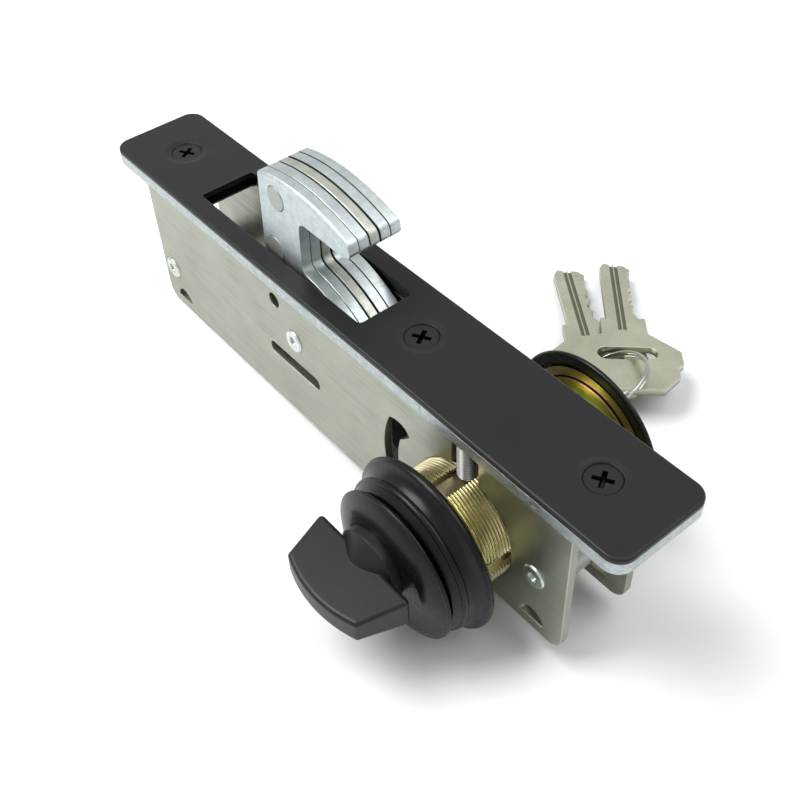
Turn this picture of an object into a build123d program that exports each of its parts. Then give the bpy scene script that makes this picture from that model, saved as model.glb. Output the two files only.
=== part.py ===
from build123d import *
import math
import os

os.makedirs("parts", exist_ok=True)

# Mortise hook lock for a narrow metal door: a faceplate with a swinging laminated hook,
# a two-plate riveted case, a thumbturn cylinder on the near side and a keyed cylinder on
# the far side, with two keys on a ring lying beside the lock.
# Millimetres. The origin is the centre of the faceplate's front. X runs along the faceplate
# towards the cylinders, Y across it towards the keyed side, Z out of the door's edge.

# Fits
slip = 0.05
running = 0.05
side_gap = 0.2

# Faceplate: a black cover tray over a plated bar
face_length = 180.0
face_width = 25.4
face_corner = 4.0
cover_height = 1.3
cover_sheet = 0.8
cover_rim = 1.0
cover_round = 0.6
bar_thickness = 3.0
opening_left = -54.8
opening_right = 9.2
opening_width = 15.2
opening_corner = 1.0

# Faceplate screws
left_screw_x = -73.9
middle_screw_x = 21.1
right_screw_x = 73.9
screw_head_r = 3.8
screw_sink = 0.3
screw_cone = 82.0
screw_neck = 0.3
mounting_thread_r = 2.4
mounting_screw_length = 15.0
cover_thread_r = 2.0
cover_screw_length = 8.0
dimple_r = 4.1
dimple_pad_r = 5.6
recess_length = 4.4
recess_width = 1.1
recess_depth = 1.5

# Case: two side plates held by riveted posts and by tabs in the bar
case_left = -78.6
case_right = 77.2
case_back = -45.4
case_width = 21.4
plate_thickness = 2.1
back_corner = 4.0
tab_places = (-66.0, 30.0, 62.0)
tab_width = 9.0
stem_r = 2.3
stake_r = 3.1
stake_height = 0.5
stake_dimple_r = 1.3
left_post_x = -73.9
left_post_z = -32.8
left_post_r = 4.0
right_post_x = 68.3
right_post_z = -27.5
right_post_r = 4.75
pivot_x = -14.1
pivot_z = -19.3
pivot_r = 3.0
sight_hole_x = -21.1
sight_hole_z = -10.9
sight_hole_r = 2.0
lug_slot_left = -74.1
lug_slot_right = 64.9
lug_slot_length = 6.9
lug_slot_height = 3.4
lug_slot_lift = 2.9

# Cylinders
cylinder_x = 46.9
cylinder_z = -28.3
thread_r = 14.6
cylinder_inner_end = 4.4
near_cylinder_length = 25.4
far_cylinder_length = 23.9
groove_width = 5.0
groove_depth = 1.6
groove_margin = 9.9
far_groove_margin = 5.4
notch_width = 8.2
set_screw_r = 2.4
set_screw_recess = 0.3
claw_outer_r = 27.3
claw_inner_r = 22.4
claw_low_angle = 205.0
head_r = 17.9
head_height = 3.0
head_lip = 0.9
head_crown_r = 12.0
head_crown_fall = 0.75
far_head_height = 2.3
collar_r = 20.9
collar_bead_r = 18.5
collar_depth = 7.8
collar_gap = 1.4
collar_web = 1.4
collar_wall = 1.0
far_collar_depth = 2.3
far_collar_gap = 0.15
far_collar_recess = 1.2
far_collar_recess_r = 18.2
far_spring_height = 0.8
collar_bore_gap = 0.35
collar_spring_width = 2.2
collar_spring_height = 2.6
collar_spring_split = 1.5

# Turning axis of both cylinders' inner parts, off the axis of the threaded bodies
turn_offset_x = -2.6
turn_offset_z = 1.5

# Thumbturn
spindle_r = 5.0
spindle_in_hub = 3.0
hub_r = 8.6
hub_seat = 0.6
hub_straight = 2.6
hub_tip_r = 2.9
hub_length = 6.8
paddle_inner_width = 29.8
paddle_outer_width = 23.0
paddle_start = 2.6
paddle_reach = 11.4
paddle_bulge = 2.2
paddle_root_thickness = 8.0
paddle_tip_thickness = 5.6
paddle_round = 1.0

# Keyed plug
plug_r = 6.35
plug_flange_r = 7.2
plug_flange_thickness = 1.6
keyway_width = 2.3
keyway_above = 5.4
keyway_below = 3.4
pin_count = 5
pin_pitch = 3.97
pin_first = 6.0
pin_r = 1.4
driver_length = 4.2
chamber_length = 8.4
pin_spring_wall = 0.3

# Cams and the drive plate that they move
drive_travel = 16.8
cam_thickness = 2.4
cam_hub_r = 7.6
finger_r = 2.0
cam_screw_spacing = 6.0
cam_screw_r = 1.0
cam_screw_head_r = 1.9
cam_screw_length = 7.0
link_z = -28.3
link_pin_r = 1.6
link_pin_recess = 2.0
link_slot_gap = 0.25
drive_thickness = 2.4
drive_wall = 2.6
jaw_width = 11.0
jaw_floor = 2.2
jaw_thickness = 2.6
jaw_gap = 0.4
drive_shoulder_x = 10.0

# Hook: five plies, the middle one a spacer that leaves the drive plate room
ply_thickness = 2.8
middle_ply_thickness = 2.4
hook_swing = 92.5
hook_edge_bevel = 0.5
hook_bevelled_length = 30.0
hook_rivet_r = 3.1
hook_rivet_proud = 0.15

# Hook outline in X and Z with the hook thrown. The crown is nearly an arc about the pivot,
# so that the hook swings down past the left end of the opening.
hook_back_top = (-26.8, 21.2)
hook_crown = (-11.2, 23.2)
hook_beak_top = (6.3, 19.3)
hook_beak_tip = (6.9, 16.0)
hook_beak_heel = (4.4, 14.9)
throat_roof = (-9.6, 15.2)
throat_back_top = (-12.0, 12.6)
throat_back_low = (-12.5, 3.0)
lobe_start = (-10.2, 0.5)
lobe_middle = (-1.6, -1.9)
lobe_end = (6.0, -6.6)
lobe_under = (4.6, -10.4)
hook_back_middle = (-28.1, 2.0)
spacer_back = (-27.9, -5.4)
spacer_step = (-17.0, -5.4)
spacer_heel = (-9.2, -12.2)
hook_rivet_places = ((-20.1, 17.0), (-22.6, 1.9), (-3.4, -6.8))
lobe_belly = (-4.6, -19.5)
tail_right = (-12.0, -28.4)
tail_low = (-23.5, -34.4)
tail_left = (-29.4, -28.2)

# Keys and ring
key_thickness = 2.0
key_blade_length = 27.7
key_blade_width = 8.6
key_groove_width = 0.85
key_groove_depth = 0.6
key_groove_run = 3.5
key_bow_width = 28.0
key_bow_length = 28.0
ring_hole_along = 13.5
ring_hole_length = 15.5
ring_hole_width = 5.0
key_lift = 4.6
key_1_tip = (-10.6, 80.5)
key_1_heading = -36.0
key_2_tip = (-1.8, 90.1)
key_2_heading = -42.5
ring_shift = (5.83, -7.84, 1.13)
ring_axis = (-0.474, -0.24, 0.847)
ring_r = 11.0
ring_wire_r = 0.45
ring_pitch = 0.95
ring_turns = 1.96

# Places worked out from the sizes above
bar_top = -cover_height
case_top = bar_top - bar_thickness
case_inner = case_width / 2 - plate_thickness
wall_middle = case_width / 2 - plate_thickness / 2
opening_length = opening_right - opening_left
opening_x = (opening_left + opening_right) / 2
ply_inner = ply_thickness / 2
hook_half = 2.5 * ply_thickness
turn_x = cylinder_x + turn_offset_x
turn_z = cylinder_z + turn_offset_z
cam_outer = cylinder_inner_end
cam_inner = cam_outer - cam_thickness
finger_reach = drive_travel / 2 / math.sin(math.radians(45))
finger_dip = drive_travel / 2
near_head_start = cylinder_inner_end + near_cylinder_length
far_head_start = cylinder_inner_end + far_cylinder_length
notch_x = turn_x - drive_travel / 2
link_start_x = pivot_x - 9.8


def near_plane(y):
    """Drawing plane at one height across the lock, read as X and Z, facing the near side."""
    return Plane.XZ.offset(-y)


def polar(radius, degrees, x=cylinder_x, z=cylinder_z):
    """Point at a radius and an angle from +X about the cylinder's axis, in X and Z."""
    angle = math.radians(degrees)
    return (x + radius * math.cos(angle), z + radius * math.sin(angle))


def finish(piece, name):
    """Name a finished sub-part and write it."""
    piece.part.label = name
    export_step(piece.part, f"parts/{name}.step")


# Faceplate bar
with BuildPart() as front_bar:
    with BuildSketch(Plane.XY.offset(case_top)):
        RectangleRounded(face_length, face_width, face_corner)
        with Locations((opening_x, 0)):
            RectangleRounded(opening_length, opening_width, opening_corner, mode=Mode.SUBTRACT)
        for side in (-1, 1):
            with Locations(*[(x, side * wall_middle) for x in tab_places]):
                Rectangle(tab_width + 2 * slip, plate_thickness + 2 * slip, mode=Mode.SUBTRACT)
            with Locations((cylinder_x, side * wall_middle)):
                Circle(set_screw_r + slip, mode=Mode.SUBTRACT)
    extrude(amount=bar_thickness)
    with Locations((left_screw_x, 0, bar_top), (right_screw_x, 0, bar_top)):
        CounterSinkHole(mounting_thread_r + 0.2, dimple_r - 0.9, counter_sink_angle=screw_cone)
    with Locations((middle_screw_x, 0, bar_top)):
        CounterSinkHole(cover_thread_r + slip, dimple_r - 0.9, counter_sink_angle=screw_cone)
finish(front_bar, "front_bar")

# Black cover: a shallow tray turned down over the bar, dished round each screw
with BuildPart() as faceplate_cover:
    with BuildSketch(Plane.XY.offset(bar_top)):
        RectangleRounded(face_length, face_width, face_corner)
    extrude(amount=cover_height)
    fillet(faceplate_cover.faces().sort_by(Axis.Z)[-1].edges(), cover_round)
    with BuildSketch(Plane.XY.offset(bar_top)):
        RectangleRounded(
            face_length - 2 * cover_rim, face_width - 2 * cover_rim, face_corner - cover_rim
        )
        with Locations((opening_x, 0)):
            Rectangle(opening_length + 2 * cover_rim, opening_width + 2 * cover_rim, mode=Mode.SUBTRACT)
        with Locations((left_screw_x, 0), (middle_screw_x, 0), (right_screw_x, 0)):
            Circle(dimple_pad_r, mode=Mode.SUBTRACT)
    extrude(amount=cover_height - cover_sheet, mode=Mode.SUBTRACT)
    with BuildSketch(Plane.XY.offset(bar_top)):
        with Locations((opening_x, 0)):
            RectangleRounded(opening_length, opening_width, opening_corner)
    extrude(amount=cover_height, mode=Mode.SUBTRACT)
    with Locations((left_screw_x, 0), (middle_screw_x, 0), (right_screw_x, 0)):
        CounterSinkHole(mounting_thread_r + 0.2, dimple_r, counter_sink_angle=screw_cone)
finish(faceplate_cover, "faceplate_cover")


def flat_head_screws(places, thread_r, neck_end, length):
    """Flat-head screws standing in the faceplate, with a neck above the thread and a cross recess."""
    neck_r = thread_r - screw_neck
    cone = (screw_head_r - neck_r) / math.tan(math.radians(screw_cone / 2))
    with BuildPart() as screws:
        for x in places:
            with BuildSketch(Plane.XZ):
                with BuildLine():
                    Polyline(
                        (x, -screw_sink),
                        (x + screw_head_r, -screw_sink),
                        (x + neck_r, -screw_sink - cone),
                        (x + neck_r, neck_end),
                        (x + thread_r, neck_end - screw_neck),
                        (x + thread_r, -length),
                        (x, -length),
                        close=True,
                    )
                make_face()
            revolve(axis=Axis((x, 0, 0), (0, 0, 1)))
            with BuildSketch(Plane.XY.offset(-screw_sink)):
                with Locations((x, 0)):
                    Rectangle(recess_length, recess_width, rotation=30)
                    Rectangle(recess_length, recess_width, rotation=120)
            extrude(amount=-recess_depth, taper=12, mode=Mode.SUBTRACT)
    return screws


mounting_screws = flat_head_screws(
    (left_screw_x, right_screw_x), mounting_thread_r, case_top, mounting_screw_length
)
finish(mounting_screws, "mounting_screws")
cover_screw = flat_head_screws(
    (middle_screw_x,), cover_thread_r, bar_top - bar_thickness / 2, cover_screw_length
)
finish(cover_screw, "cover_screw")


def side_plate(outer_y):
    """One wall of the case, drawn as seen from the near side."""
    half_slot = link_pin_r + link_slot_gap
    with BuildPart() as plate:
        with BuildSketch(near_plane(outer_y)) as wall:
            with Locations(((case_left + case_right) / 2, (case_top + case_back) / 2)):
                Rectangle(case_right - case_left, case_top - case_back)
            fillet(wall.vertices().group_by(Axis.Y)[0], back_corner)
            tab_height = bar_thickness - side_gap
            with Locations(*[(x, case_top + tab_height / 2) for x in tab_places]):
                Rectangle(tab_width, tab_height)
            with Locations((left_post_x, left_post_z), (right_post_x, right_post_z)):
                Circle(stem_r + slip, mode=Mode.SUBTRACT)
            with Locations((pivot_x, pivot_z)):
                Circle(stem_r + slip, mode=Mode.SUBTRACT)
            with Locations((sight_hole_x, sight_hole_z)):
                Circle(sight_hole_r, mode=Mode.SUBTRACT)
            with Locations((link_start_x + drive_travel / 2, link_z)):
                SlotCenterToCenter(drive_travel, 2 * half_slot, mode=Mode.SUBTRACT)
            with Locations((cylinder_x, cylinder_z)):
                Circle(thread_r + slip, mode=Mode.SUBTRACT)
            with Locations((cylinder_x, case_top)):
                Rectangle(
                    notch_width,
                    case_top - cylinder_z - thread_r + groove_depth,
                    align=(Align.CENTER, Align.MAX),
                    mode=Mode.SUBTRACT,
                )
            for left in (lug_slot_left, lug_slot_right):
                low = case_back + lug_slot_lift
                with BuildLine():
                    flat = Line((left, low), (left + lug_slot_length, low))
                    crown = (left + lug_slot_length / 2, low + lug_slot_height)
                    ThreePointArc(flat @ 1, crown, flat @ 0)
                make_face(mode=Mode.SUBTRACT)
            with BuildLine():
                outer = ThreePointArc(
                    polar(claw_outer_r, claw_low_angle),
                    polar(claw_outer_r, 180),
                    polar(claw_outer_r, 155),
                )
                crest = ThreePointArc(
                    outer @ 1, polar(claw_outer_r - 2, 151), polar(claw_inner_r + 0.3, 148.7)
                )
                beak = Polyline(crest @ 1, polar(claw_inner_r - 1.8, 150.6), polar(claw_inner_r - 0.6, 160))
                inner = ThreePointArc(
                    polar(claw_inner_r, 162), polar(claw_inner_r, 180), polar(claw_inner_r, claw_low_angle)
                )
                Line(beak @ 1, inner @ 0)
                middle_r = (claw_inner_r + claw_outer_r) / 2
                ThreePointArc(inner @ 1, polar(middle_r, claw_low_angle + 5), outer @ 0)
            make_face(mode=Mode.SUBTRACT)
        extrude(amount=plate_thickness)
    return plate


near_side_plate = side_plate(-case_inner)
finish(near_side_plate, "near_side_plate")
far_side_plate = side_plate(case_width / 2)
finish(far_side_plate, "far_side_plate")


def riveted_post(x, z, body_r):
    """Post between the walls, its stems staked over outside them."""
    with BuildPart() as post:
        with BuildSketch(Plane.XZ):
            with Locations((x, z)):
                Circle(body_r)
        extrude(amount=case_inner, both=True)
        with BuildSketch(Plane.XZ):
            with Locations((x, z)):
                Circle(stem_r)
        extrude(amount=case_width / 2, both=True)
        for side in (-1, 1):
            with BuildSketch(near_plane(side * case_width / 2)):
                with Locations((x, z)):
                    Circle(stake_r)
            extrude(amount=-side * stake_height, taper=35)
            with BuildSketch(near_plane(side * (case_width / 2 + stake_height))):
                with Locations((x, z)):
                    Circle(stake_dimple_r)
            extrude(amount=side * stake_height, mode=Mode.SUBTRACT)
    return post


left_post = riveted_post(left_post_x, left_post_z, left_post_r)
finish(left_post, "left_post")
right_post = riveted_post(right_post_x, right_post_z, right_post_r)
finish(right_post, "right_post")
pivot_post = riveted_post(pivot_x, pivot_z, pivot_r)
finish(pivot_post, "pivot_post")


def hook_upper_line():
    """The edge of the hook from the back's middle over the crown and throat to the lobe."""
    Line(hook_back_middle, hook_back_top)
    ThreePointArc(hook_back_top, hook_crown, hook_beak_top)
    Polyline(hook_beak_top, hook_beak_tip, hook_beak_heel, throat_roof)
    ThreePointArc(throat_roof, (throat_roof[0] - 1.7, throat_roof[1] - 0.8), throat_back_top)
    Line(throat_back_top, throat_back_low)
    ThreePointArc(throat_back_low, (throat_back_low[0] + 0.7, throat_back_low[1] - 1.8), lobe_start)
    ThreePointArc(lobe_start, lobe_middle, lobe_end)
    Line(lobe_end, lobe_under)


def link_pin_in_hook(share):
    """Centre of the link pin in the hook's own frame, for a share of the drive's travel."""
    x = link_start_x + share * drive_travel - pivot_x
    z = link_z - pivot_z
    angle = math.radians(share * hook_swing)
    turned_x = x * math.cos(angle) + z * math.sin(angle)
    turned_z = z * math.cos(angle) - x * math.sin(angle)
    return (pivot_x + turned_x, pivot_z + turned_z)


def hook_plies(inner_y, bevelled):
    """The two working plies that lie at one distance from the lock's middle."""
    with BuildPart() as plies:
        for start in (-inner_y, inner_y + ply_thickness):
            with BuildSketch(near_plane(start)):
                with BuildLine():
                    hook_upper_line()
                    ThreePointArc(lobe_under, lobe_belly, tail_right)
                    ThreePointArc(tail_right, tail_low, tail_left)
                    Line(tail_left, hook_back_middle)
                make_face()
                with Locations((pivot_x, pivot_z)):
                    Circle(pivot_r + running, mode=Mode.SUBTRACT)
                with Locations(*hook_rivet_places):
                    Circle(hook_rivet_r, mode=Mode.SUBTRACT)
                with BuildSketch(mode=Mode.PRIVATE) as pin_track:
                    with Locations(*[link_pin_in_hook(step / 8) for step in range(9)]):
                        Circle(link_pin_r + link_slot_gap)
                    make_hull()
                add(pin_track.sketch, mode=Mode.SUBTRACT)
            extrude(amount=ply_thickness)
        if bevelled:
            outside = plies.edges().group_by(Axis.Y)
            for edges in (outside[0], outside[-1]):
                chamfer(edges.filter_by(lambda edge: edge.length > hook_bevelled_length), hook_edge_bevel)
    return plies


hook_outer_plies = hook_plies(ply_inner + ply_thickness, True)
finish(hook_outer_plies, "hook_outer_plies")
hook_inner_plies = hook_plies(ply_inner, False)
finish(hook_inner_plies, "hook_inner_plies")

with BuildPart() as hook_middle_ply:
    with BuildSketch(near_plane(middle_ply_thickness / 2)):
        with BuildLine():
            hook_upper_line()
            Polyline(lobe_under, spacer_heel, spacer_step, spacer_back, hook_back_middle)
        make_face()
        with Locations(*hook_rivet_places):
            Circle(hook_rivet_r, mode=Mode.SUBTRACT)
    extrude(amount=middle_ply_thickness)
finish(hook_middle_ply, "hook_middle_ply")

with BuildPart() as hook_rivets:
    with BuildSketch(Plane.XZ):
        with Locations(*hook_rivet_places):
            Circle(hook_rivet_r - slip)
    extrude(amount=hook_half + hook_rivet_proud, both=True)
    chamfer(hook_rivets.edges().filter_by(GeomType.CIRCLE), hook_rivet_proud * 0.8)
finish(hook_rivets, "hook_rivets")

# Drive plate: the pin end lies in the fork of the hook, guided by the pivot post, and the
# other end carries the jaws that the cams' fingers work in
jaw_top = turn_z - finger_dip - 0.7
jaw_low = turn_z - finger_reach - finger_r - 0.3 - jaw_floor
jaw_slot = finger_r + 0.03 * finger_reach + jaw_gap
guide_r = pivot_r + side_gap
drive_left = pivot_x - drive_travel - guide_r - drive_wall
drive_right = notch_x + jaw_width / 2
drive_top = pivot_z + guide_r + drive_wall - 1.2
arm_low = link_z - link_pin_r - drive_wall
with BuildPart() as drive_plate:
    with BuildSketch(near_plane(drive_thickness / 2)) as drive_outline:
        with BuildLine():
            Polyline(
                (drive_left, drive_top),
                (drive_right, drive_top),
                (drive_right, jaw_low),
                (drive_shoulder_x, jaw_low),
                (drive_shoulder_x, arm_low),
                (drive_left + drive_wall, arm_low),
                (drive_left, pivot_z - guide_r - drive_wall),
                close=True,
            )
        make_face()
        fillet(drive_outline.vertices(), 1.5)
        with Locations((pivot_x - drive_travel / 2, pivot_z)):
            SlotCenterToCenter(drive_travel, 2 * guide_r, mode=Mode.SUBTRACT)
        with Locations((link_start_x, link_z)):
            Circle(link_pin_r + slip, mode=Mode.SUBTRACT)
    extrude(amount=drive_thickness)
    for side in (-1, 1):
        with BuildSketch(near_plane(side * drive_thickness / 2)):
            with Locations((notch_x, jaw_low)):
                Rectangle(jaw_width, jaw_top - jaw_low, align=(Align.CENTER, Align.MIN))
        extrude(amount=-side * jaw_thickness)
        with BuildSketch(near_plane(side * drive_thickness / 2)):
            with Locations((notch_x, jaw_low + jaw_floor)):
                Rectangle(2 * jaw_slot, jaw_top - jaw_low, align=(Align.CENTER, Align.MIN))
        extrude(amount=-side * jaw_thickness, mode=Mode.SUBTRACT)
finish(drive_plate, "drive_plate")

with BuildPart() as link_pin:
    with BuildSketch(Plane.XZ):
        with Locations((link_start_x, link_z)):
            Circle(link_pin_r)
    extrude(amount=case_width / 2 - link_pin_recess, both=True)
    chamfer(link_pin.edges().filter_by(GeomType.CIRCLE), 0.3)
finish(link_pin, "link_pin")


def turned_about(x, z):
    """Axis across the lock at one place."""
    return Axis((x, 0, z), (0, 1, 0))


def cylinder_body(side, length, margin, bore_x, bore_z, bore_r, chambers=()):
    """Threaded body, drawn at the thread's crest, with its grooves, bore and pin chambers."""
    groove_length = length - margin
    with BuildPart() as body:
        with BuildSketch(near_plane(side * cylinder_inner_end)):
            with Locations((cylinder_x, cylinder_z)):
                Circle(thread_r)
            with Locations((bore_x, bore_z)):
                Circle(bore_r + running, mode=Mode.SUBTRACT)
        extrude(amount=-side * length)
        entry = body.edges().filter_by(GeomType.CIRCLE).sort_by(SortBy.RADIUS)[-2:]
        chamfer(entry.sort_by(Axis.Y)[0 if side > 0 else -1], 0.6)
        for turn in (0, 90):
            floor = Plane(
                origin=(cylinder_x, 0, cylinder_z),
                x_dir=(math.cos(math.radians(turn)), 0, -math.sin(math.radians(turn))),
                z_dir=(math.sin(math.radians(turn)), 0, math.cos(math.radians(turn))),
            ).offset(thread_r - groove_depth)
            with BuildSketch(floor):
                with Locations((0, side * (cylinder_inner_end + groove_length / 2 - groove_width / 2))):
                    SlotOverall(groove_length + groove_width, groove_width, rotation=90)
            extrude(amount=2 * groove_depth, mode=Mode.SUBTRACT)
        for y in chambers:
            with BuildSketch(Plane.XY.offset(bore_z)):
                with Locations((bore_x, y)):
                    Circle(pin_r + running)
            extrude(amount=-bore_r - chamber_length, mode=Mode.SUBTRACT)
    return body


def cylinder_head(side, start, height, bore_r, seat_r, seat_depth):
    """Round head: a thin rounded lip at the back, a low crown, and a seat round the bore."""
    with BuildPart() as head:
        with BuildSketch(Plane.XY.offset(cylinder_z)):
            with BuildLine():
                def at(radius, rise):
                    return (cylinder_x + radius, side * (start + rise))

                Polyline(at(0, height), at(0, 0), at(head_r - head_lip, 0))
                lip = ThreePointArc(
                    at(head_r - head_lip, 0), at(head_r, head_lip / 2), at(head_r - head_lip / 2, head_lip)
                )
                crown = ThreePointArc(
                    lip @ 1,
                    at((head_r + head_crown_r) / 2, height - head_crown_fall),
                    at(head_crown_r, height),
                )
                Line(crown @ 1, at(0, height))
            make_face()
        revolve(axis=turned_about(cylinder_x, cylinder_z))
        with BuildSketch(near_plane(side * start)):
            with Locations((turn_x, turn_z)):
                Circle(bore_r + running)
        extrude(amount=-side * height, mode=Mode.SUBTRACT)
        with BuildSketch(near_plane(side * (start + height - seat_depth))):
            with Locations((turn_x, turn_z)):
                Circle(seat_r)
        extrude(amount=-side * height, mode=Mode.SUBTRACT)
    return head


def collar(side, head_start):
    """Sprung trim ring: a flared skirt, a bead and a web that rides on the body."""
    rim = head_start - collar_gap - collar_depth
    with BuildPart() as ring:
        with BuildSketch(Plane.XY.offset(cylinder_z)):
            with BuildLine():
                def at(radius, height):
                    return (cylinder_x + radius, side * (rim + height))

                web_r = thread_r + collar_bore_gap
                web_start = collar_depth - collar_web
                flare = ThreePointArc(
                    at(collar_r - 1.5, 0), at(collar_r, 1.3), at(collar_r - 0.7, 2.2)
                )
                waist = ThreePointArc(
                    flare @ 1, at(collar_bead_r + 0.2, 3.3), at(collar_bead_r - 0.55, 4.7)
                )
                bead = ThreePointArc(
                    waist @ 1, at(collar_bead_r, 5.5), at(collar_bead_r - 0.7, 6.4)
                )
                Polyline(
                    bead @ 1,
                    at(web_r + 1.6, collar_depth),
                    at(web_r, collar_depth),
                    at(web_r, web_start),
                    at(collar_bead_r - collar_wall - 0.3, web_start),
                    at(collar_bead_r - collar_wall - 0.3, 3.6),
                    at(collar_r - 2.4, 0),
                    at(collar_r - 1.5, 0),
                )
            make_face()
        revolve(axis=turned_about(cylinder_x, cylinder_z))
    return ring


def collar_spring(side, web_back, height):
    """Split spring ring inside the skirt, behind the collar's web."""
    top = web_back - slip
    inner_r = thread_r + collar_bore_gap
    with BuildPart() as ring:
        with BuildSketch(near_plane(side * (top - height))):
            with Locations((cylinder_x, cylinder_z)):
                Circle(inner_r + collar_spring_width)
                Circle(inner_r, mode=Mode.SUBTRACT)
            with Locations((cylinder_x, cylinder_z - inner_r)):
                Rectangle(collar_spring_split, 3 * collar_spring_width, mode=Mode.SUBTRACT)
        extrude(amount=-side * height)
    return ring


def cam(side, x, z, direction):
    """Cam plate on a cylinder's inner end, with one round-nosed finger."""
    angle = math.radians(direction)
    nose = (x + finger_reach * math.cos(angle), z + finger_reach * math.sin(angle))
    with BuildPart() as plate:
        with BuildSketch(near_plane(side * cam_outer)):
            with Locations((x, z)):
                Circle(cam_hub_r)
            with Locations(((x + nose[0]) / 2, (z + nose[1]) / 2)):
                SlotCenterToCenter(finger_reach, 2 * finger_r, rotation=direction)
            with Locations(*cam_screw_places(x, z, direction)):
                Circle(cam_screw_r + slip, mode=Mode.SUBTRACT)
        extrude(amount=side * cam_thickness)
        for place in cam_screw_places(x, z, direction):
            with Locations(Plane(origin=(place[0], side * cam_inner, place[1]), z_dir=(0, -side, 0))):
                CounterSinkHole(cam_screw_r + slip, cam_screw_head_r + 0.1, counter_sink_angle=90)
    return plate


def cam_screw_places(x, z, direction):
    """The two screws stand across the finger's direction."""
    angle = math.radians(direction + 90)
    reach = cam_screw_spacing / 2
    return [
        (x + sign * reach * math.cos(angle), z + sign * reach * math.sin(angle)) for sign in (-1, 1)
    ]


def cam_screws(side, x, z, direction):
    """Two small flat-head screws through a cam."""
    with BuildPart() as screws:
        for place in cam_screw_places(x, z, direction):
            with BuildSketch(Plane.XY.offset(place[1])):
                with BuildLine():
                    Polyline(
                        (place[0], side * cam_inner),
                        (place[0] + cam_screw_head_r, side * cam_inner),
                        (place[0] + cam_screw_r, side * (cam_inner + cam_screw_head_r - cam_screw_r)),
                        (place[0] + cam_screw_r, side * (cam_inner + cam_screw_length)),
                        (place[0], side * (cam_inner + cam_screw_length)),
                        close=True,
                    )
                make_face()
            revolve(axis=turned_about(place[0], place[1]))
    return screws


# Thumbturn cylinder, near side
near_cylinder_body = cylinder_body(-1, near_cylinder_length, groove_margin, turn_x, turn_z, spindle_r)
finish(near_cylinder_body, "near_cylinder_body")
near_cylinder_head = cylinder_head(
    -1, near_head_start, head_height, spindle_r, hub_r + side_gap, hub_seat
)
finish(near_cylinder_head, "near_cylinder_head")
near_collar = collar(-1, near_head_start)
finish(near_collar, "near_collar")
near_collar_spring = collar_spring(
    -1, near_head_start - collar_gap - collar_web, collar_spring_height
)
finish(near_collar_spring, "near_collar_spring")

hub_start = near_head_start + head_height - hub_seat + side_gap
spindle_end = hub_start + spindle_in_hub
with BuildPart() as turn_spindle:
    with BuildSketch(near_plane(-cylinder_inner_end)):
        with Locations((turn_x, turn_z)):
            Circle(spindle_r)
        with Locations(*cam_screw_places(turn_x, turn_z, 225)):
            Circle(cam_screw_r + slip, mode=Mode.SUBTRACT)
    extrude(amount=spindle_end - cylinder_inner_end)
finish(turn_spindle, "turn_spindle")

paddle_inner = near_head_start + head_height + paddle_start
paddle_outer = paddle_inner + paddle_reach
with BuildPart() as thumbturn:
    with BuildSketch(Plane.YZ.offset(turn_x)):
        with BuildLine():
            Polyline(
                (-paddle_inner, turn_z + paddle_root_thickness / 2),
                (-paddle_outer - paddle_bulge, turn_z + paddle_tip_thickness / 2),
                (-paddle_outer - paddle_bulge, turn_z - paddle_tip_thickness / 2),
                (-paddle_inner, turn_z - paddle_root_thickness / 2),
                close=True,
            )
        make_face()
    extrude(amount=paddle_inner_width / 2, both=True)
    with BuildSketch(Plane.XY.offset(turn_z - paddle_root_thickness)):
        with BuildLine():
            outer_left = (turn_x - paddle_outer_width / 2, -paddle_outer)
            outer_right = (turn_x + paddle_outer_width / 2, -paddle_outer)
            ThreePointArc(outer_left, (turn_x, -paddle_outer - paddle_bulge), outer_right)
            Polyline(
                outer_right,
                (turn_x + paddle_inner_width / 2, -paddle_inner),
                (turn_x - paddle_inner_width / 2, -paddle_inner),
                outer_left,
            )
        make_face()
    extrude(amount=2 * paddle_root_thickness, mode=Mode.INTERSECT)
    fillet(thumbturn.edges(), paddle_round)
    with BuildSketch(Plane.XY.offset(turn_z)):
        with BuildLine():
            Polyline(
                (turn_x, -hub_start),
                (turn_x + hub_r, -hub_start),
                (turn_x + hub_r, -hub_start - hub_straight),
                (turn_x + hub_tip_r, -hub_start - hub_length),
                (turn_x, -hub_start - hub_length),
                close=True,
            )
        make_face()
    revolve(axis=turned_about(turn_x, turn_z))
    with BuildSketch(near_plane(-hub_start)):
        with Locations((turn_x, turn_z)):
            Circle(spindle_r)
    extrude(amount=spindle_end - hub_start, mode=Mode.SUBTRACT)
finish(thumbturn, "thumbturn")

near_cam = cam(-1, turn_x, turn_z, 225)
finish(near_cam, "near_cam")
near_cam_screws = cam_screws(-1, turn_x, turn_z, 225)
finish(near_cam_screws, "near_cam_screws")

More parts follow.
